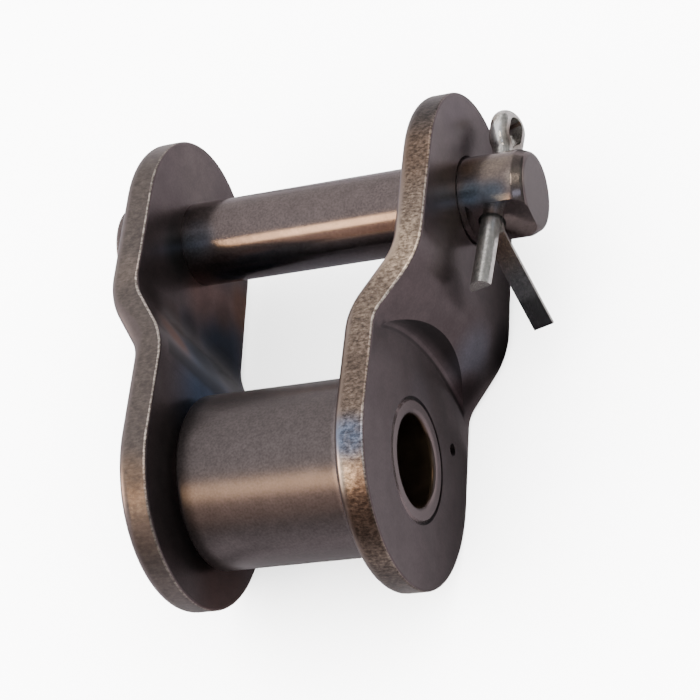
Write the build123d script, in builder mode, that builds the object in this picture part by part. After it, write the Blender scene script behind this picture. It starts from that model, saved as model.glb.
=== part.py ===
"""Offset link of a roller chain, which joins an odd number of pitches.

Two cranked plates stand on one bushing with its roller. The connecting pin of the next link
passes their wide end and is kept by a split cotter pin.
"""
import math
import os

from build123d import *

# Frame: X runs along the connecting pin towards its cotter, Y from the bushing to the pin,
# and Z up from the long edges that the link lies on. The origin is the bushing's centre.

# Chain
pitch = 25.4
roller_diameter = 15.88
roller_length = 15.7
roller_side_play = 0.95
roller_running_clearance = 0.06
roller_edge_radius = 0.3

# Plates
plate_thickness = 3.0
bushing_end_radius = 11.4
pin_end_radius = 10.0
next_link_clearance = 0.7
crank_angle = 33
crank_clearance = 1.06
lower_bend_radius = 3.5
upper_bend_radius = 5.0
die_roll_radius = 1.1
burr_radius = 0.25

# Pocket that clears the next plate, pressed into the foot of the crank
pocket_radius = 24.0
pocket_reach = 1.7
pocket_wall_angle = 32
pocket_foot_radius = 1.0

# Punch mark beside the bushing
punch_radius = 0.6
punch_tip_radius = 0.1
punch_depth = 0.5
punch_distance = 8.5
punch_angle = -60

# Bushing
bushing_diameter = 10.9
bushing_bore = 8.1
bushing_mouth_radius = 0.5
seat_chamfer = 0.2

# Connecting pin
pin_diameter = 7.94
pin_head_diameter = 9.4
pin_head_height = 3.85
pin_head_radius = 0.5
pin_tip_stand_off = 6.2
pin_lead_length = 1.1
pin_lead_depth = 0.45
pin_lead_radius = 0.8
pin_tip_radius = 0.5
flat_depth = 0.85
flat_start_gap = 0.6
flat_angle = 166

# Split cotter pin, half-round wire folded flat to flat
cotter_hole_distance = 2.35
cotter_width = 2.1
cotter_hole_clearance = 0.2
cotter_twist = 17.5
cotter_lean = 2.2
leg_gap = 0.06
eye_stand_off = 1.3
eye_half_width = 0.9
eye_side_length = 1.2
eye_neck_radius = 1.5
near_leg_length = 7.6
far_leg_length = 9.2
far_leg_bend_angle = 60
far_leg_bend_radius = 1.4

# Places that follow from the sizes
narrow_gap_half = roller_length / 2 + roller_side_play
narrow_face = narrow_gap_half + plate_thickness
joggle = plate_thickness + next_link_clearance
wide_gap_half = narrow_gap_half + joggle
wide_face = wide_gap_half + plate_thickness

crank_slope = math.radians(crank_angle)
crank_start = roller_diameter / 2 + crank_clearance
crank_end = crank_start + joggle / math.tan(crank_slope)
inner_shift = plate_thickness * math.tan(crank_slope / 2)

pin_radius = pin_diameter / 2
pin_head_x = -wide_face - pin_head_height
pin_tip_x = wide_face + pin_tip_stand_off
cotter_x = wide_face + cotter_hole_distance
flat_distance = pin_radius - flat_depth

# The cotter goes through the pin at a right angle to the flat. Its legs open along spread.
flat_turn = math.radians(flat_angle)
twist = math.radians(cotter_twist)
through = Vector(0, math.cos(flat_turn), math.sin(flat_turn))
across = Vector(0, math.sin(flat_turn), -math.cos(flat_turn))
along = Vector(1, 0, 0)
spread = along * math.sin(twist) - across * math.cos(twist)
wire_side = along * math.cos(twist) + across * math.sin(twist)

os.makedirs("parts", exist_ok=True)


def crank_corners():
    """Corners of the plate's section along the chain, each with the radius of its bend."""
    foot = -bushing_end_radius
    top = pitch + pin_end_radius
    return [
        ((narrow_face, foot), 0),
        ((narrow_face, crank_start), lower_bend_radius),
        ((wide_face, crank_end), upper_bend_radius + plate_thickness),
        ((wide_face, top), 0),
        ((wide_gap_half, top), 0),
        ((wide_gap_half, crank_end + inner_shift), upper_bend_radius),
        ((narrow_gap_half, crank_start + inner_shift), lower_bend_radius + plate_thickness),
        ((narrow_gap_half, foot), 0),
    ]


def offset_plate(rolled_outside):
    """Cranked plate on the +X side, blanked to its outline and bored for bushing and pin."""
    with BuildPart() as plate:
        # Bent strip
        with BuildSketch(Plane.XY.offset(-bushing_end_radius)):
            corners, radii = zip(*crank_corners())
            with BuildLine():
                FilletPolyline(*corners, radius=radii, close=True)
            make_face()
        extrude(amount=2 * bushing_end_radius)

        # Outline: round ends with straight flanks tangent to both
        with BuildSketch(Plane.YZ):
            Circle(bushing_end_radius)
            with Locations((pitch, 0)):
                Circle(pin_end_radius)
            make_hull()
        extrude(amount=wide_face, mode=Mode.INTERSECT)

        # Rim: rolled over where the die entered, nearly sharp where it left
        flanks = faces().filter_by(lambda face: abs(face.normal_at().X) < 0.01)
        inner_side = faces().filter_by(lambda face: face.normal_at().X < -0.5)
        outer_side = faces().filter_by(lambda face: face.normal_at().X > 0.5)
        inner_rim = flanks.edges() & inner_side.edges()
        outer_rim = flanks.edges() & outer_side.edges()
        rolled_rim, burr_rim = (outer_rim, inner_rim) if rolled_outside else (inner_rim, outer_rim)
        fillet(rolled_rim, die_roll_radius)
        fillet(burr_rim, burr_radius)

        # Pocket level with the narrow end's outer face
        pocket_centre = crank_start + pocket_reach - pocket_radius
        pocket_flare = joggle * math.tan(math.radians(pocket_wall_angle))
        with BuildSketch(Plane.XY):
            with BuildLine():
                Polyline(
                    (narrow_face, pocket_centre),
                    (narrow_face, pocket_centre + pocket_radius),
                    (wide_face, pocket_centre + pocket_radius + pocket_flare),
                    (wide_face, pocket_centre),
                    close=True,
                )
            make_face()
            pocket_foot = vertices().group_by(Axis.X)[0].sort_by(Axis.Y)[-1]
            fillet(pocket_foot, pocket_foot_radius)
        revolve(axis=Axis((0, pocket_centre, 0), (1, 0, 0)), mode=Mode.SUBTRACT)

        # Seats of the bushing and of the pin
        with BuildSketch(Plane.YZ):
            Circle(bushing_diameter / 2)
            with Locations((pitch, 0)):
                Circle(pin_radius)
        extrude(amount=wide_face, mode=Mode.SUBTRACT)
        seat_rims = edges().filter_by(GeomType.CIRCLE).filter_by(lambda edge: edge.is_closed)
        pin_rims, bushing_rims = seat_rims.group_by(SortBy.RADIUS)
        outer_rims = [pin_rims.sort_by(Axis.X)[-1], bushing_rims.sort_by(Axis.X)[-1]]
        chamfer(outer_rims, seat_chamfer)
    return plate.part


# Plate on the cotter side, with its punch mark
with BuildPart() as plate_cotter_side:
    add(offset_plate(rolled_outside=False))
    punch_y = punch_distance * math.cos(math.radians(punch_angle))
    punch_z = punch_distance * math.sin(math.radians(punch_angle))
    with Locations(Location((narrow_face - punch_depth / 2, punch_y, punch_z), (0, 90, 0))):
        Cone(punch_tip_radius, punch_radius, punch_depth, mode=Mode.SUBTRACT)
plate_cotter_side.part.label = "plate_cotter_side"

# Plate on the head side, bent the other way after blanking
with BuildPart() as plate_head_side:
    mirror(offset_plate(rolled_outside=True), about=Plane.YZ)
plate_head_side.part.label = "plate_head_side"

# Bushing, pressed into both plates with its ends level with them
with BuildPart() as bushing:
    with BuildSketch(Plane.YZ.offset(-narrow_face)):
        Circle(bushing_diameter / 2)
        Circle(bushing_bore / 2, mode=Mode.SUBTRACT)
    extrude(amount=2 * narrow_face)
    rims = edges().filter_by(GeomType.CIRCLE).sort_by(SortBy.RADIUS)
    fillet(rims[:2], bushing_mouth_radius)
    chamfer(rims[2:], seat_chamfer)
bushing.part.label = "bushing"

# Roller, turning freely on the bushing
with BuildPart() as roller:
    with BuildSketch(Plane.YZ.offset(-roller_length / 2)):
        Circle(roller_diameter / 2)
        Circle(bushing_diameter / 2 + roller_running_clearance, mode=Mode.SUBTRACT)
    extrude(amount=roller_length)
    fillet(edges().filter_by(GeomType.CIRCLE), roller_edge_radius)
roller.part.label = "roller"

# Connecting pin: turned, with a flat and a cross hole at its free end
with BuildPart() as connecting_pin:
    with BuildSketch(Plane.XY):
        with BuildLine():
            Polyline(
                (pin_head_x, pitch),
                (pin_head_x, pitch + pin_head_diameter / 2),
                (-wide_face, pitch + pin_head_diameter / 2),
                (-wide_face, pitch + pin_radius),
                (pin_tip_x - pin_lead_length, pitch + pin_radius),
                (pin_tip_x, pitch + pin_radius - pin_lead_depth),
                (pin_tip_x, pitch),
                close=True,
            )
        make_face()
        fillet(vertices().group_by(Axis.X)[-2], pin_lead_radius)
        fillet(vertices().group_by(Axis.X)[0].sort_by(Axis.Y)[-1], pin_head_radius)
        fillet(vertices().group_by(Axis.X)[-1].sort_by(Axis.Y)[-1], pin_tip_radius)
    revolve(axis=Axis((0, pitch, 0), (1, 0, 0)))
    flat_plane = Plane(
        origin=Vector(wide_face + flat_start_gap, pitch, 0) + through * flat_distance,
        x_dir=along,
        z_dir=through,
    )
    with BuildSketch(flat_plane):
        Rectangle(pin_tip_stand_off, pin_diameter, align=(Align.MIN, Align.CENTER))
    extrude(amount=flat_depth, mode=Mode.SUBTRACT)
    with BuildSketch(Plane(origin=(cotter_x, pitch, 0), x_dir=along, z_dir=through)):
        Circle(cotter_width / 2 + cotter_hole_clearance)
    extrude(amount=pin_diameter, both=True, mode=Mode.SUBTRACT)
connecting_pin.part.label = "connecting_pin"

# Split cotter pin: up one leg, round the eye and down the other, which is bent out of the flat
with BuildPart() as cotter_pin:
    neck_sway = eye_half_width - leg_gap / 2
    neck_turn = math.degrees(math.acos(1 - neck_sway / (eye_neck_radius + eye_half_width)))
    neck_y = pin_radius + eye_stand_off
    leg_foot_y = -flat_distance - leg_gap
    cotter_plane = Plane(origin=(cotter_x, pitch, 0), x_dir=spread, z_dir=wire_side)
    cotter_plane = cotter_plane.rotated((cotter_lean, 0, 0))
    upward = cotter_plane.y_dir
    with BuildLine(cotter_plane) as wire:
        near_leg = Line((-leg_gap / 2, leg_foot_y - near_leg_length), (-leg_gap / 2, neck_y))
        neck_out = JernArc(near_leg @ 1, near_leg % 1, eye_neck_radius, neck_turn)
        side_in = JernArc(neck_out @ 1, neck_out % 1, eye_half_width, -neck_turn)
        side_up = Line(side_in @ 1, side_in @ 1 + upward * eye_side_length)
        crown = JernArc(side_up @ 1, side_up % 1, eye_half_width, -180)
        side_down = Line(crown @ 1, crown @ 1 - upward * eye_side_length)
        side_out = JernArc(side_down @ 1, side_down % 1, eye_half_width, -neck_turn)
        neck_in = JernArc(side_out @ 1, side_out % 1, eye_neck_radius, neck_turn)
        far_leg = Line(neck_in @ 1, neck_in @ 1 - upward * (neck_y - leg_foot_y))
        far_bend = JernArc(far_leg @ 1, far_leg % 1, far_leg_bend_radius, far_leg_bend_angle)
        Line(far_bend @ 1, far_bend @ 1 + (far_bend % 1) * far_leg_length)
    with BuildSketch(Plane(origin=near_leg @ 0, x_dir=spread, z_dir=near_leg % 0)):
        Circle(cotter_width / 2)
        split(bisect_by=Plane.YZ, keep=Keep.BOTTOM)
    sweep(path=wire.wire())
cotter_pin.part.label = "cotter_pin"

export_step(plate_cotter_side.part, "parts/plate_cotter_side.step")
export_step(plate_head_side.part, "parts/plate_head_side.step")
export_step(bushing.part, "parts/bushing.step")
export_step(roller.part, "parts/roller.step")
export_step(connecting_pin.part, "parts/connecting_pin.step")
export_step(cotter_pin.part, "parts/cotter_pin.step")
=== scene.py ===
"""Offset link of a roller chain, lying on a white table under soft light."""

import math

import bpy
import numpy as np
from mathutils import Matrix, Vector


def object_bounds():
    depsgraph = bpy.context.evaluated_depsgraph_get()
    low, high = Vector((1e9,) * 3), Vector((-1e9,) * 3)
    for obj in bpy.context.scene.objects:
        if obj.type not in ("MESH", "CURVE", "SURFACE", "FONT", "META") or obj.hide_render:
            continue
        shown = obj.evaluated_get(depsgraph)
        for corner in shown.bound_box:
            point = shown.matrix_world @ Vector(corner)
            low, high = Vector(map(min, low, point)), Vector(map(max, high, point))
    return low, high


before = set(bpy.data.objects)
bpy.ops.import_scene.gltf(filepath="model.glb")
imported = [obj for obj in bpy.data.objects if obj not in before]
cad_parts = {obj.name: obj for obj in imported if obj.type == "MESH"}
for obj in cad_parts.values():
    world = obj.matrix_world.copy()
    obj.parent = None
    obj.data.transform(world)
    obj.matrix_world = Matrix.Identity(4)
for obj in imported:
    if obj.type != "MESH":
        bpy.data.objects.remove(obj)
cad_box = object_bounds()


# Table: a sheet of matt white laminate, large enough to fill every view.
# The link lies on the lower long edges of its plates, so the table is at their lowest point.
table_half = 3.0
table_level = cad_box[0].z
smooth = {"interpolation_type": "SMOOTHSTEP"}
colours = {"data_type": "RGBA"}
tinted = {"data_type": "RGBA", "blend_type": "MULTIPLY"}


def linear(hex_colour):
    """sRGB hex value turned to linear light: the power curve with its straight foot."""
    value = np.array([int(hex_colour[i:i + 2], 16) for i in (1, 3, 5)]) / 255
    light = np.where(value <= 0.04045, value / 12.92, ((value + 0.055) / 1.055) ** 2.4)
    return (*light.tolist(), 1.0)


def add_node(tree, kind, inputs=None, **settings):
    """Adds one node with its settings, and sets its inputs or links them to a node or socket.

    Inputs by number: a Map Range has its value, the two ends it comes from and the two it goes
    to (0 to 4), a Mix its factor (0) and its two colours (6 and 7) or numbers (2 and 3).
    """
    made = tree.nodes.new("ShaderNode" + kind)
    for name, value in settings.items():
        setattr(made, name, value)
    for socket, value in (inputs or {}).items():
        if isinstance(value, bpy.types.Node):
            value = next(output for output in value.outputs if output.enabled)
        if isinstance(value, bpy.types.NodeSocket):
            tree.links.new(value, made.inputs[socket])
        else:
            made.inputs[socket].default_value = value
    return made


def new_material(name):
    """Empty node material with its shader and output."""
    material = bpy.data.materials.new(name)
    material.use_nodes = True
    tree = material.node_tree
    tree.nodes.clear()
    shader = add_node(tree, "BsdfPrincipled")
    add_node(tree, "OutputMaterial", {"Surface": shader})
    return material, tree, shader


table_mesh = bpy.data.meshes.new("table")
table_mesh.from_pydata(
    [(x * table_half, y * table_half, table_level) for x, y in ((-1, -1), (1, -1), (1, 1), (-1, 1))],
    [],
    [(0, 1, 2, 3)],
)
table = bpy.data.objects.new("table", table_mesh)
bpy.context.scene.collection.objects.link(table)
table.visible_glossy = False

# Matt laminate: no gloss to speak of, so it only shows soft shadows.
laminate, _, laminate_shader = new_material("matt_white_laminate")
laminate_shader.inputs["Base Color"].default_value = linear("#F6F6F6")
laminate_shader.inputs["Roughness"].default_value = 0.9
laminate_shader.inputs["Specular IOR Level"].default_value = 0.1
table_mesh.materials.append(laminate)

# The same table as the steel sees it: a grey cloth with a painted contact shadow beside the
# plates that stand on it, and painted shade that darkens it towards the front.
gloss_gap = 0.00002
gloss_mesh = bpy.data.meshes.new("table_in_gloss")
gloss_mesh.from_pydata(
    [(x, y, z + gloss_gap) for x, y, z in (vertex.co for vertex in table_mesh.vertices)],
    [],
    [(0, 1, 2, 3)],
)
gloss_table = bpy.data.objects.new("table_in_gloss", gloss_mesh)
bpy.context.scene.collection.objects.link(gloss_table)
gloss_table.visible_camera = False
gloss_table.visible_diffuse = False
gloss_table.visible_shadow = False

narrow_face, joggle = 0.0118, 0.0037
crank_from, crank_to = 0.003, 0.015
shadow_end = 0.018
plate_edge_blur = 0.0003
open_tone = 0.85
contact_shadow_tone, crank_contact_shadow_tone = 0.3, 0.03
front_from, front_to, front_tone = -0.1, -0.015, 0.3
grey_cloth, cloth_tree, cloth_shader = new_material("grey_cloth")
cloth_place = add_node(cloth_tree, "TexCoord").outputs["Object"]
cloth_place = add_node(cloth_tree, "SeparateXYZ", {0: cloth_place}).outputs
cranked = add_node(
    cloth_tree, "MapRange",
    {0: cloth_place["Y"], 1: crank_from, 2: crank_to, 3: 0.0, 4: joggle},
    **smooth,
)
beside = add_node(cloth_tree, "Math", {0: cloth_place["X"]}, operation="ABSOLUTE")
beside = add_node(cloth_tree, "Math", {0: beside, 1: cranked}, operation="SUBTRACT")
# Painted contact shadow beside the plates, darker still beside the crank.
contact_shadow = add_node(
    cloth_tree, "MapRange",
    {0: cloth_place["Y"], 1: crank_from, 2: crank_to, 3: contact_shadow_tone, 4: crank_contact_shadow_tone},
    **smooth,
)
outside = add_node(
    cloth_tree, "MapRange", {0: beside, 1: narrow_face - plate_edge_blur, 2: shadow_end}, **smooth
)
outside = add_node(cloth_tree, "MapRange", {0: outside, 3: contact_shadow, 4: open_tone})
between = add_node(
    cloth_tree, "MapRange",
    {0: beside, 1: narrow_face - plate_edge_blur, 2: narrow_face, 3: open_tone, 4: 0.0},
    **smooth,
)
cloth_light = add_node(cloth_tree, "Math", {0: outside, 1: between}, operation="MAXIMUM")
# Painted shade: the cloth darkens towards the front.
in_front = add_node(
    cloth_tree, "MapRange",
    {0: cloth_place["Y"], 1: front_from, 2: front_to, 3: front_tone, 4: 1.0},
    **smooth,
)
cloth_light = add_node(cloth_tree, "Math", {0: cloth_light, 1: in_front}, operation="MULTIPLY")
cloth_tint = add_node(cloth_tree, "Mix", {0: 1.0, 6: linear("#565355"), 7: cloth_light}, **tinted)
cloth_tree.links.new(cloth_tint.outputs[2], cloth_shader.inputs["Base Color"])
cloth_shader.inputs["Roughness"].default_value = 1.0
cloth_shader.inputs["Specular IOR Level"].default_value = 0.0
gloss_mesh.materials.append(grey_cloth)


# Camera: a long lens that looks down on the link over the cotter's side.
camera_data = bpy.data.cameras.new("camera")
camera_data.sensor_width = 36
camera_data.lens = 120.3
camera_data.clip_start = 0.01
camera_data.clip_end = 20
camera = bpy.data.objects.new("camera", camera_data)
bpy.context.scene.collection.objects.link(camera)
camera_place = (0.089263, -0.082527, 0.168534)
camera_turn = (28.6262, 24.4795, 4.7999)
camera.location = camera_place
camera.rotation_euler = [math.radians(angle) for angle in camera_turn]
bpy.context.scene.camera = camera


# Studio: a white tent lights the table. The steel reflects the tent's grey walls, brighter on the
# head's side and nearly black behind the camera. Warm softboxes draw the streaks, and a weak warm
# one below the key light lets each streak fade out downwards.
tent_strength = 12.0
camera_side_tone = 0.06
head_side_tone = 1.7
front_wall_tone = 0.26
lamp_distance = 0.6
world = bpy.data.worlds.new("white_tent")
bpy.context.scene.world = world
world.use_nodes = True
sky = world.node_tree
sky.nodes.clear()
toward = add_node(sky, "TexCoord").outputs["Generated"]
toward = add_node(sky, "SeparateXYZ", {0: toward}).outputs
camera_side = add_node(
    sky, "MapRange", {0: toward["X"], 1: -0.15, 2: 0.3, 3: 1.0, 4: camera_side_tone}, **smooth
)
head_side = add_node(
    sky, "MapRange", {0: toward["X"], 1: -0.95, 2: -0.6, 3: head_side_tone, 4: 1.0}, **smooth
)
front = add_node(
    sky, "MapRange", {0: toward["Y"], 1: -0.85, 2: -0.55, 3: front_wall_tone, 4: 1.0}, **smooth
)
level = add_node(sky, "Math", {0: camera_side, 1: head_side}, operation="MULTIPLY")
level = add_node(sky, "Math", {0: level, 1: front}, operation="MULTIPLY")
away_from_front = add_node(sky, "MapRange", {0: toward["Y"], 1: -0.8, 2: -0.3}, **smooth)
wall = add_node(
    sky, "Mix", {0: away_from_front, 6: linear("#FFD8C0"), 7: linear("#F3EFEE")}, **colours
)
gloss_light = add_node(sky, "Background", {"Color": wall, "Strength": level})
tent_light = add_node(sky, "Background", {"Color": linear("#FFFFFF"), "Strength": tent_strength})
seen_in_gloss = add_node(sky, "LightPath").outputs["Is Glossy Ray"]
sky_mix = add_node(sky, "MixShader", {0: seen_in_gloss, 1: tent_light, 2: gloss_light})
add_node(sky, "OutputWorld", {"Surface": sky_mix})


def softbox(name, direction, size, power, colour):
    """Rectangular light in a direction from the origin, turned to face it."""
    light = bpy.data.lights.new(name, "AREA")
    light.shape = "RECTANGLE"
    light.size, light.size_y = size
    light.energy = power
    light.color = linear(colour)[:3]
    lamp = bpy.data.objects.new(name, light)
    bpy.context.scene.collection.objects.link(lamp)
    back = np.array(direction, dtype=float) / np.linalg.norm(direction)
    side = np.array([1.0, 0, 0]) - back[0] * back
    side /= np.linalg.norm(side)
    lamp.matrix_world = Matrix.Translation(back * lamp_distance) @ Matrix(
        np.column_stack([side, np.cross(back, side), back]).tolist()
    ).to_4x4()


softbox("key_softbox", (-0.40, -0.528, 0.748), (0.055, 0.17), 0.61, "#FFD8A6")
softbox("key_spill", (-0.40, -0.79, 0.465), (0.055, 0.32), 0.06, "#FFC498")
softbox("head_side_softbox", (-0.96, -0.04, 0.13), (0.28, 0.16), 1.0, "#FFE4D2")
softbox("camera_side_fill", (0.46, -0.40, 0.79), (0.14, 0.14), 0.12, "#CFE2FF")
softbox("overhead_softbox", (0.27, 0.20, 0.94), (0.10, 0.26), 0.3, "#FFF0E2")


# Plates: two side plates blanked from carbon steel strip, cranked opposite ways, hardened and
# tumbled. The faces are smooth and dark. The edges show the burnished and the grainy broken zone
# of the blanking, with a corner on the side where the blank left the die that is worn bright and
# given a painted highlight. Painted shade darkens the recesses, and patches of painted light lie
# on faces and rims.
mm = 0.001
pitch = 0.0254
thickness = 0.003
bushing_end_radius = 0.0114
pin_end_radius = 0.010
bend_from, bend_to = 0.0099, 0.0156
bushing_seat = 0.00545
grain_width = 0.00024
stroke_width = 0.00022
mottle_width = 0.0022
noise_low, noise_high = 0.3, 0.7
rim_from, rim_to = -0.0019, -0.0014
rolled_share, broken_share = -0.32, -0.12
low_end_from, low_end_to, low_end_worn_highlight = -0.007, 0.0, 0.25
top_end_from, top_end_to, top_end_worn_highlight = 0.031, 0.026, 0.3
lip_low, lip_high = 0.3 * mm, 1.1 * mm
foot_low = 0.1 * mm
punch_inside, punch_outside = 0.56 * mm, 0.64 * mm
gap_inside, gap_outside = 0.14 * mm, 0.22 * mm
burnish = 0.3
face_gloss, broken_gloss = 0.28, 0.33
break_depth = 0.000012
stroke_depth = 0.000004
recess_shade_colour = "#161313"
worn_and_highlight_colour = "#D2C6BC"
punch_place = (narrow_face, 0.00425, -0.00736)


def tinge_with_painted_light(tree, tint, place, mask, light_and_tint_spots):
    """Tint with patches of painted shade, painted highlight and painted reflection, a few of them
    temper colour.

    Each patch gives its hue and its gain in tone at its centre, and less out to its reach, both
    in mm, as far as the mask lets it.
    """
    for colour, centre, reach, gain in light_and_tint_spots:
        away = add_node(
            tree, "VectorMath", {0: place, 1: [value * mm for value in centre]}, operation="DISTANCE"
        )
        near = add_node(tree, "MapRange", {0: away, 1: reach * mm, 2: 0.25 * reach * mm}, **smooth)
        near = add_node(tree, "Math", {0: near, 1: mask}, operation="MULTIPLY")
        tint = add_node(
            tree, "Mix", {0: near, 6: tint, 7: linear(colour)}, data_type="RGBA", blend_type="COLOR"
        )
        tone = add_node(tree, "MapRange", {0: near, 3: 1.0, 4: gain})
        tint = add_node(tree, "Mix", {0: 1.0, 6: tint, 7: tone}, **tinted)
    return tint


def blanked_steel(name, face_colour, edge_colour, glint_colour, streak, face_light_and_tint_spots, rim_light_and_tint_spots):
    """Hardened strip steel with a broken edge, and patches of painted light and of temper colour on
    face and rim.
    """
    material, tree, shader = new_material(name)
    coordinates = add_node(tree, "TexCoord").outputs
    place = add_node(tree, "SeparateXYZ", {0: coordinates["Object"]}).outputs
    facing = add_node(tree, "SeparateXYZ", {0: coordinates["Normal"]}).outputs
    steepness = add_node(tree, "Math", {0: facing["X"]}, operation="ABSOLUTE")
    height = add_node(tree, "Math", {0: place["X"]}, operation="ABSOLUTE")

    # Near the rim: distance from the line of centres, less the outline's half width there.
    along = add_node(tree, "Clamp", {0: place["Y"], 1: 0.0, 2: pitch})
    past_end = add_node(tree, "Math", {0: place["Y"], 1: along}, operation="SUBTRACT")
    off_line = add_node(tree, "CombineXYZ", {0: past_end, 1: place["Z"]})
    off_line = add_node(tree, "VectorMath", {0: off_line}, operation="LENGTH")
    half_width = add_node(
        tree, "MapRange",
        {0: along, 1: 0.0, 2: pitch, 3: bushing_end_radius, 4: pin_end_radius},
        **smooth,
    )
    inset = add_node(tree, "Math", {0: off_line, 1: half_width}, operation="SUBTRACT")
    rim = add_node(tree, "MapRange", {0: inset, 1: rim_from, 2: rim_to}, **smooth)
    upright = add_node(tree, "MapRange", {0: steepness, 1: 0.8, 2: 0.55}, **smooth)
    edge = add_node(tree, "Math", {0: rim, 1: upright}, operation="MULTIPLY")

    # Across the edge, from the rim that the die rolled over to the sharper one.
    side_sign = add_node(tree, "Math", {0: place["X"]}, operation="SIGN")
    middle = add_node(
        tree, "MapRange",
        {0: place["Y"], 1: bend_from, 2: bend_to, 3: narrow_face - thickness / 2,
         4: narrow_face - thickness / 2 + joggle},
        **smooth,
    )
    middle = add_node(tree, "Math", {0: middle, 1: side_sign}, operation="MULTIPLY")
    across = add_node(tree, "Math", {0: place["X"], 1: middle}, operation="SUBTRACT")
    rolled_over = add_node(
        tree, "MapRange",
        {0: across, 1: rolled_share * thickness, 2: broken_share * thickness},
        **smooth,
    )
    broken = add_node(tree, "Math", {0: edge, 1: rolled_over}, operation="MULTIPLY")

    # The sharper corner, worn bright and with a painted highlight, and less so round the two ends.
    corner = add_node(tree, "MapRange", {0: facing["X"], 1: 0.1, 2: 0.35}, **smooth)
    corner_end = add_node(tree, "MapRange", {0: facing["X"], 1: 0.82, 2: 0.7}, **smooth)
    corner = add_node(tree, "Math", {0: corner, 1: corner_end}, operation="MULTIPLY")
    low_end = add_node(
        tree, "MapRange",
        {0: place["Y"], 1: low_end_from, 2: low_end_to, 3: low_end_worn_highlight, 4: 1.0},
        **smooth,
    )
    top_end = add_node(
        tree, "MapRange",
        {0: place["Y"], 1: top_end_from, 2: top_end_to, 3: top_end_worn_highlight, 4: 1.0},
        **smooth,
    )
    kept = add_node(tree, "Math", {0: low_end, 1: top_end}, operation="MULTIPLY")
    worn_and_highlight = add_node(tree, "Math", {0: rim, 1: corner}, operation="MULTIPLY")
    worn_and_highlight = add_node(tree, "Math", {0: worn_and_highlight, 1: kept}, operation="MULTIPLY")

    drawn = add_node(tree, "Mapping", {0: coordinates["Object"], "Scale": (streak, 1, 1)})
    grain = add_node(
        tree, "TexNoise", {"Vector": drawn, "Scale": 1 / grain_width, "Detail": 4, "Roughness": 0.7}
    )
    patches = add_node(
        tree, "TexNoise", {"Vector": coordinates["Object"], "Scale": 1 / (3 * grain_width), "Detail": 3}
    )
    mottle = add_node(
        tree, "TexNoise",
        {"Vector": coordinates["Object"], "Scale": 1 / mottle_width, "Detail": 5, "Roughness": 0.6},
    )
    strokes = add_node(
        tree, "TexNoise", {"Vector": coordinates["Object"], "Scale": 1 / stroke_width, "Detail": 2}
    )

    # Painted shade in the recesses: under the pocket's lip, in the line at its foot, in the punch
    # mark and in the gap round the bushing.
    off_rim = add_node(tree, "Math", {0: 1.0, 1: rim}, operation="SUBTRACT")
    lip = add_node(tree, "MapRange", {0: steepness, 1: 0.82, 2: 0.66}, **smooth)
    lip = add_node(tree, "Math", {0: lip, 1: off_rim}, operation="MULTIPLY")
    under_lip = add_node(
        tree, "MapRange",
        {0: height, 1: narrow_face + lip_low, 2: narrow_face + lip_high, 3: 0.35, 4: 0.85},
        **smooth,
    )
    lip = add_node(tree, "Math", {0: lip, 1: under_lip}, operation="MULTIPLY")
    foot = add_node(tree, "MapRange", {0: steepness, 1: 0.999, 2: 0.985}, **smooth)
    foot_end = add_node(tree, "MapRange", {0: steepness, 1: 0.9, 2: 0.96, 3: 0.0, 4: 0.6}, **smooth)
    foot = add_node(tree, "Math", {0: foot, 1: foot_end}, operation="MULTIPLY")
    foot = add_node(tree, "Math", {0: foot, 1: off_rim}, operation="MULTIPLY")
    low = add_node(
        tree, "MapRange", {0: height, 1: narrow_face + lip_low, 2: narrow_face + foot_low}, **smooth
    )
    foot = add_node(tree, "Math", {0: foot, 1: low}, operation="MULTIPLY")
    to_punch = add_node(
        tree, "VectorMath", {0: coordinates["Object"], 1: punch_place}, operation="DISTANCE"
    )
    punched = add_node(tree, "MapRange", {0: to_punch, 1: punch_outside, 2: punch_inside}, **smooth)
    from_axis = add_node(
        tree, "VectorMath", {0: coordinates["Object"], 1: (0, 1, 1)}, operation="MULTIPLY"
    )
    from_axis = add_node(tree, "VectorMath", {0: from_axis}, operation="LENGTH")
    gap = add_node(
        tree, "MapRange",
        {0: from_axis, 1: bushing_seat + gap_outside, 2: bushing_seat + gap_inside},
        **smooth,
    )
    recess_shade = add_node(tree, "Math", {0: lip, 1: foot}, operation="MAXIMUM")
    recess_shade = add_node(tree, "Math", {0: recess_shade, 1: punched}, operation="MAXIMUM")
    recess_shade = add_node(tree, "Math", {0: recess_shade, 1: gap}, operation="MAXIMUM")

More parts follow.
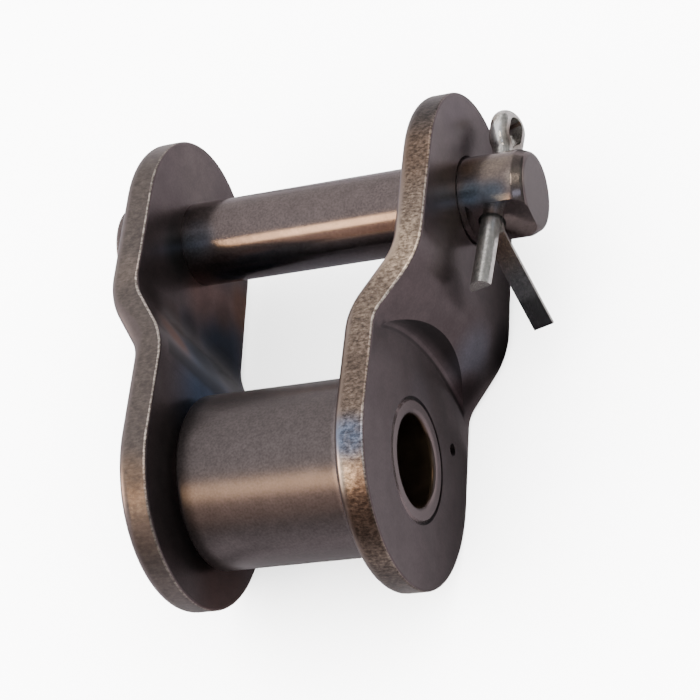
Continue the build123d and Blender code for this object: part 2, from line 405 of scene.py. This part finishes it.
    # Colours: the tumbled face, then its painted recess shade, the burnished and the broken edge, and
    # the corner.
    mottle_tone = add_node(
        tree, "MapRange", {0: mottle, 1: noise_low, 2: noise_high, 3: 0.9, 4: 1.12}, **smooth
    )
    stroke_tone = add_node(
        tree, "MapRange", {0: strokes, 1: noise_low, 2: noise_high, 3: 0.93, 4: 1.07}, **smooth
    )
    face = add_node(tree, "Mix", {0: 1.0, 6: linear(face_colour), 7: mottle_tone}, **tinted)
    face = add_node(tree, "Mix", {0: 1.0, 6: face, 7: stroke_tone}, **tinted)
    patch_tone = add_node(
        tree, "MapRange", {0: patches, 1: noise_low, 2: noise_high, 3: 0.88, 4: 1.12}, **smooth
    )
    dark_edge = add_node(tree, "Mix", {0: 1.0, 6: linear(edge_colour), 7: patch_tone}, **tinted)
    bright = add_node(tree, "MapRange", {0: grain, 1: 0.32, 2: 0.86}, **smooth)
    some = add_node(tree, "MapRange", {0: patches, 1: 0.3, 2: 0.65, 3: 0.65, 4: 1.0}, **smooth)
    bright = add_node(tree, "Math", {0: bright, 1: some}, operation="MULTIPLY")
    broken_edge = add_node(tree, "Mix", {0: bright, 6: dark_edge, 7: linear(glint_colour)}, **colours)
    burnished = add_node(tree, "Mix", {0: burnish, 6: face, 7: linear(glint_colour)}, **colours)
    tint = add_node(tree, "Mix", {0: recess_shade, 6: face, 7: linear(recess_shade_colour)}, **colours)
    tint = add_node(tree, "Mix", {0: edge, 6: tint, 7: burnished}, **colours)
    tint = add_node(tree, "Mix", {0: broken, 6: tint, 7: broken_edge}, **colours)
    # Worn corner with a painted highlight, in beads along the grain.
    beads = add_node(tree, "MapRange", {0: grain, 1: 0.38, 2: 0.6, 3: 0.2, 4: 1.0}, **smooth)
    beads = add_node(tree, "Math", {0: worn_and_highlight, 1: beads}, operation="MULTIPLY")
    tint = add_node(tree, "Mix", {0: beads, 6: tint, 7: linear(worn_and_highlight_colour)}, **colours)
    patchy = add_node(tree, "MapRange", {0: patches, 1: 0.2, 2: 0.6, 3: 0.7, 4: 1.0}, **smooth)
    on_face = add_node(tree, "Math", {0: 1.0, 1: edge}, operation="SUBTRACT")
    on_edge = add_node(tree, "Math", {0: edge, 1: patchy}, operation="MULTIPLY")
    # Patches of painted shade, painted highlight and painted reflection on face and rim, a few of them
    # temper colour.
    tint = tinge_with_painted_light(tree, tint, coordinates["Object"], on_face, face_light_and_tint_spots)
    tint = tinge_with_painted_light(tree, tint, coordinates["Object"], on_edge, rim_light_and_tint_spots)
    tree.links.new(tint.outputs[2], shader.inputs["Base Color"])
    shader.inputs["Metallic"].default_value = 1.0
    rough = add_node(tree, "MapRange", {0: broken, 3: face_gloss, 4: broken_gloss})
    tree.links.new(rough.outputs[0], shader.inputs["Roughness"])
    break_height = add_node(tree, "Math", {0: grain, 1: broken}, operation="MULTIPLY")
    break_bump = add_node(
        tree, "Bump", {"Height": break_height, "Strength": 1.0, "Distance": break_depth}
    )
    fine_bump = add_node(
        tree, "Bump",
        {"Height": strokes, "Strength": 0.3, "Distance": stroke_depth, "Normal": break_bump},
    )
    tree.links.new(fine_bump.outputs[0], shader.inputs["Normal"])
    return material


def dress(node_name, material):
    """Gives a CAD node its material in every slot."""
    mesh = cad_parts[node_name].data
    for slot in range(max(1, len(mesh.materials))):
        if slot < len(mesh.materials):
            mesh.materials[slot] = material
        else:
            mesh.materials.append(material)


# Its patches are painted light: painted shade low on the face near the table, painted reflections on
# the face, painted highlights and shade along the rim, and a blue temper patch.
dress("plate_cotter_side", blanked_steel(
    "hardened_plate_steel_cotter_side", "#5B5152", "#4B413C", "#AC9886", 0.6,
    (
        ("#7C7A84", (15.0, 12.2, -5.5), 4.5, 1.7),
        ("#8A7C77", (15.5, 22.5, 5.0), 5.0, 1.05),
        ("#4A3E40", (12.2, 9.6, -8.0), 3.4, 0.4),
        ("#7E7478", (11.8, 6.0, 0.4), 3.4, 1.3),
        ("#4A4244", (15.4, 15.2, -9.6), 3.4, 0.3),
        ("#5B5054", (15.5, 30.5, 4.0), 5.5, 0.82),
    ),
    (
        ("#909CB6", (10.3, -2.4, 11.0), 2.8, 1.15),
        ("#8C7A6E", (10.8, 3.2, 11.2), 5.5, 0.78),
        ("#C8B09A", (13.6, 15.2, 10.5), 4.5, 1.9),
        ("#9C8474", (14.2, 25.5, 9.9), 5.5, 0.72),
        ("#6C5C54", (10.6, -8.4, 7.8), 5.2, 0.3),
        ("#A89888", (9.3, -5.4, 9.9), 2.2, 2.6),
        ("#857870", (10.4, -11.2, 0.0), 6.0, 0.42),
        ("#8A7E7A", (14.5, 31.0, 8.4), 5.5, 0.28),
    ),
))
# Its patches are painted light: painted bluish and brown reflections on the inner face, the painted
# shadow of the pin, painted shade at the bottom and painted highlights on the rim.
dress("plate_head_side", blanked_steel(
    "hardened_plate_steel_head_side", "#5B5152", "#4E4745", "#6B625C", 0.5,
    (
        ("#2E3A4C", (-9.2, 8.0, 1.0), 9.5, 1.5),
        ("#6E5248", (-10.4, 12.2, 6.4), 3.2, 2.0),
        ("#263A50", (-10.4, 12.4, 0.6), 4.0, 0.42),
        ("#263A50", (-11.2, 13.6, -6.5), 5.0, 0.35),
        ("#22364F", (-12.5, 16.6, -6.0), 6.4, 0.4),
        ("#2E2A30", (-12.4, 15.9, 0.6), 2.9, 0.3),
        ("#3A2C2A", (-12.1, 15.2, 3.8), 2.7, 0.4),
        ("#483835", (-12.5, 21.0, -1.4), 5.0, 1.8),
        ("#5A4238", (-12.5, 23.0, -8.8), 3.6, 1.6),
        ("#483835", (-12.5, 21.4, -5.4), 3.6, 1.4),
        ("#1A1919", (-12.5, 22.6, 4.0), 3.5, 0.35),
        ("#3A2A27", (-8.8, -8.0, -5.0), 7.0, 0.65),
        ("#6A605F", (-12.5, 31.5, 2.0), 6.0, 1.2),
    ),
    (
        ("#8A7668", (-10.4, -3.8, 10.6), 3.4, 1.4),
        ("#8A7D76", (-13.5, 17.2, 10.4), 2.6, 1.3),
    ),
))


# Bushing: turned and hardened steel tube, pressed into the narrow ends of both plates. Its ends
# are plain grey, and its bore is painted dark brown as the shade inside the tube.
bore_radius = 0.00405
mouth_inside, mouth_outside = 0.05 * mm, 0.2 * mm
bushing_steel, bushing_tree, bushing_shader = new_material("hardened_bushing_steel")
bushing_place = add_node(bushing_tree, "TexCoord").outputs["Object"]
bushing_cloud = add_node(
    bushing_tree, "TexNoise", {"Vector": bushing_place, "Scale": 1 / mottle_width, "Detail": 4}
)
from_axis = add_node(
    bushing_tree, "VectorMath", {0: bushing_place, 1: (0, 1, 1)}, operation="MULTIPLY"
)
from_axis = add_node(bushing_tree, "VectorMath", {0: from_axis}, operation="LENGTH")
outside_bore = add_node(
    bushing_tree, "MapRange",
    {0: from_axis, 1: bore_radius + mouth_inside, 2: bore_radius + mouth_outside},
)
# Painted shade: the bore is dark brown up to its mouth.
bushing_tint = add_node(
    bushing_tree, "Mix", {0: outside_bore, 6: linear("#4A3C30"), 7: linear("#7B6F6F")}, **colours
)
bushing_tree.links.new(bushing_tint.outputs[2], bushing_shader.inputs["Base Color"])
bushing_gloss = add_node(
    bushing_tree, "MapRange", {0: bushing_cloud, 1: noise_low, 2: noise_high, 3: 0.2, 4: 0.27}
)
bushing_tree.links.new(bushing_gloss.outputs[0], bushing_shader.inputs["Roughness"])
bushing_shader.inputs["Metallic"].default_value = 1.0
dress("bushing", bushing_steel)


# Roller and connecting pin: hardened steel, the roller barrel-finished and the pin ground, both
# satin under a thin film of oil. The pin has blue and brown patches beside its cross hole that are
# partly temper colour and partly painted reflection, a painted glint at its tip, and painted
# reflections at its head end and along its underside.
finish_width = 0.0002
cloud_width = 0.0013
cloud_depth = 0.000003
cut_end_tone = 0.66
gloss_spread = 0.02


def satin_steel(name, colour, gloss, light_and_tint_spots=(), shade_and_highlight_bands=()):
    """Round hardened steel with a fine cloudy finish, duller on its cut ends.

    A band of painted shade, with a tone below one, or of painted highlight, with a tone above one,
    lies round the piece between two places along the axis, in mm, and its tone goes from the first
    to plain at the second.
    """
    material, tree, shader = new_material(name)
    coordinates = add_node(tree, "TexCoord").outputs
    fine = add_node(
        tree, "TexNoise", {"Vector": coordinates["Object"], "Scale": 1 / finish_width, "Detail": 1}
    )
    cloud = add_node(
        tree, "TexNoise", {"Vector": coordinates["Object"], "Scale": 1 / cloud_width, "Detail": 4}
    )
    fine_tone = add_node(
        tree, "MapRange", {0: fine, 1: noise_low, 2: noise_high, 3: 0.86, 4: 1.14}
    )
    cloud_tone = add_node(
        tree, "MapRange", {0: cloud, 1: noise_low, 2: noise_high, 3: 0.92, 4: 1.08}
    )
    facing = add_node(tree, "SeparateXYZ", {0: coordinates["Normal"]}).outputs
    steepness = add_node(tree, "Math", {0: facing["X"]}, operation="ABSOLUTE")
    end_tone = add_node(
        tree, "MapRange", {0: steepness, 1: 0.9, 2: 0.97, 3: 1.0, 4: cut_end_tone}, **smooth
    )
    tone = add_node(tree, "Math", {0: fine_tone, 1: cloud_tone}, operation="MULTIPLY")
    tone = add_node(tree, "Math", {0: tone, 1: end_tone}, operation="MULTIPLY")
    along_axis = add_node(tree, "SeparateXYZ", {0: coordinates["Object"]}).outputs["X"]
    for start, end, band_tone in shade_and_highlight_bands:
        band = add_node(
            tree, "MapRange",
            {0: along_axis, 1: start * mm, 2: end * mm, 3: band_tone, 4: 1.0},
            **smooth,
        )
        tone = add_node(tree, "Math", {0: tone, 1: band}, operation="MULTIPLY")
    tint = add_node(tree, "Mix", {0: 1.0, 6: linear(colour), 7: tone}, **tinted)
    tint = tinge_with_painted_light(tree, tint, coordinates["Object"], 1.0, light_and_tint_spots)
    tree.links.new(tint.outputs[2], shader.inputs["Base Color"])
    shader.inputs["Metallic"].default_value = 1.0
    rough = add_node(
        tree, "MapRange",
        {0: fine, 1: noise_low, 2: noise_high, 3: gloss - gloss_spread, 4: gloss + gloss_spread},
    )
    tree.links.new(rough.outputs[0], shader.inputs["Roughness"])
    bump = add_node(tree, "Bump", {"Height": cloud, "Strength": 0.3, "Distance": cloud_depth})
    tree.links.new(bump.outputs[0], shader.inputs["Normal"])
    return material


# The roller's bands: painted shade at its left end beside the head-side plate, and a painted highlight
# on its right end.
dress("roller", satin_steel(
    "barrel_finished_roller_steel", "#575050", 0.3,
    shade_and_highlight_bands=((-7.4, -6.0, 0.4), (7.5, 7.1, 1.5)),
))
# Pin patches: painted reflections and a painted glint near its tip, partly blue and brown temper
# colour, and a broad painted bluish reflection along its underside.
dress("connecting_pin", satin_steel(
    "ground_pin_steel", "#6D6362", 0.19,
    (
        ("#626E7C", (16.8, 23.9, 3.6), 2.0, 1.4),
        ("#68707C", (18.8, 23.5, 3.6), 2.0, 0.75),
        ("#6E5C50", (16.6, 26.8, 3.7), 1.8, 1.5),
        ("#484A50", (-11.0, 23.8, 3.5), 2.6, 1.35),
        ("#8A8078", (21.1, 24.9, 3.7), 1.5, 1.7),
        ("#7C7068", (19.0, 26.8, 3.4), 3.0, 1.4),
        ("#5E646E", (0.0, 15.0, -8.0), 16.0, 2.0),
    ),
))


# Cotter: split pin of half-round drawn wire, zinc bright on its round side and dull on the flat.
# The flat darkens towards the tips with a painted dark reflection.
flat_facing = (-0.15, -0.75, 0.64)
draw_width = 0.00016
draw_stretch = 0.12
draw_depth = 0.00001
speck_width = 0.00028
speck_depth = 0.000008
tip_dark = 0.45
bend_top, bend_foot = 0.0205, 0.0180
tip_from, tip_to = 0.0166, 0.0171
drawn_wire, wire_tree, wire_shader = new_material("drawn_cotter_wire")
wire_coordinates = add_node(wire_tree, "TexCoord").outputs
wire_place = add_node(wire_tree, "SeparateXYZ", {0: wire_coordinates["Object"]}).outputs
flat_side = add_node(
    wire_tree, "VectorMath", {0: wire_coordinates["Normal"], 1: flat_facing}, operation="DOT_PRODUCT"
)
flat_side = add_node(wire_tree, "Math", {0: flat_side}, operation="ABSOLUTE")
flat_side = add_node(wire_tree, "MapRange", {0: flat_side, 1: 0.96, 2: 0.985})
along_wire = add_node(
    wire_tree, "Mapping", {0: wire_coordinates["Object"], "Scale": (1, draw_stretch, 1)}
)
draw_marks = add_node(
    wire_tree, "TexNoise", {"Vector": along_wire, "Scale": 1 / draw_width, "Detail": 3}
)
specks = add_node(
    wire_tree, "TexNoise",
    {"Vector": wire_coordinates["Object"], "Scale": 1 / speck_width, "Detail": 4, "Roughness": 0.7},
)
mark_tone = add_node(
    wire_tree, "MapRange", {0: draw_marks, 1: noise_low, 2: noise_high, 3: 0.75, 4: 1.1}
)
speck_tone = add_node(wire_tree, "MapRange", {0: specks, 1: 0.35, 2: 0.65, 3: 0.65, 4: 1.15})
bent_part = add_node(wire_tree, "MapRange", {0: wire_place["Y"], 1: bend_foot, 2: bend_top}, **smooth)
flat_tint = add_node(
    wire_tree, "Mix", {0: bent_part, 6: linear("#96969A"), 7: linear("#AE988C")}, **colours
)
wire_tint = add_node(wire_tree, "Mix", {0: flat_side, 6: linear("#E9E7E2"), 7: flat_tint}, **colours)
# Painted dark reflection: the flat darkens towards the tips.
tip_tone = add_node(
    wire_tree, "MapRange",
    {0: wire_place["Y"], 1: tip_from, 2: tip_to, 3: tip_dark, 4: 1.0},
    **smooth,
)
tip_tone = add_node(wire_tree, "Mix", {0: flat_side, 2: 1.0, 3: tip_tone}, data_type="FLOAT")
wire_tone = add_node(wire_tree, "Math", {0: mark_tone, 1: speck_tone}, operation="MULTIPLY")
wire_tone = add_node(wire_tree, "Math", {0: wire_tone, 1: tip_tone}, operation="MULTIPLY")
wire_tint = add_node(wire_tree, "Mix", {0: 1.0, 6: wire_tint, 7: wire_tone}, **tinted)
# Painted highlight on the eye's ring, and painted shade in its hole.
wire_tint = tinge_with_painted_light(wire_tree, wire_tint, wire_coordinates["Object"], 1.0, (
    ("#E9E7E2", (17.5, 32.4, 0.4), 1.4, 2.2),
    ("#B0A498", (18.9, 32.2, -0.8), 1.9, 0.2),
    ("#B9B0A6", (17.0, 34.0, 0.0), 0.9, 0.6),
))
wire_tree.links.new(wire_tint.outputs[2], wire_shader.inputs["Base Color"])
wire_shader.inputs["Metallic"].default_value = 1.0
wire_shader.inputs["Roughness"].default_value = 0.22
wire_bump = add_node(
    wire_tree, "Bump", {"Height": draw_marks, "Strength": 0.6, "Distance": draw_depth}
)
wire_bump = add_node(
    wire_tree, "Bump",
    {"Height": specks, "Strength": 0.5, "Distance": speck_depth, "Normal": wire_bump},
)
wire_tree.links.new(wire_bump.outputs[0], wire_shader.inputs["Normal"])
dress("cotter_pin", drawn_wire)
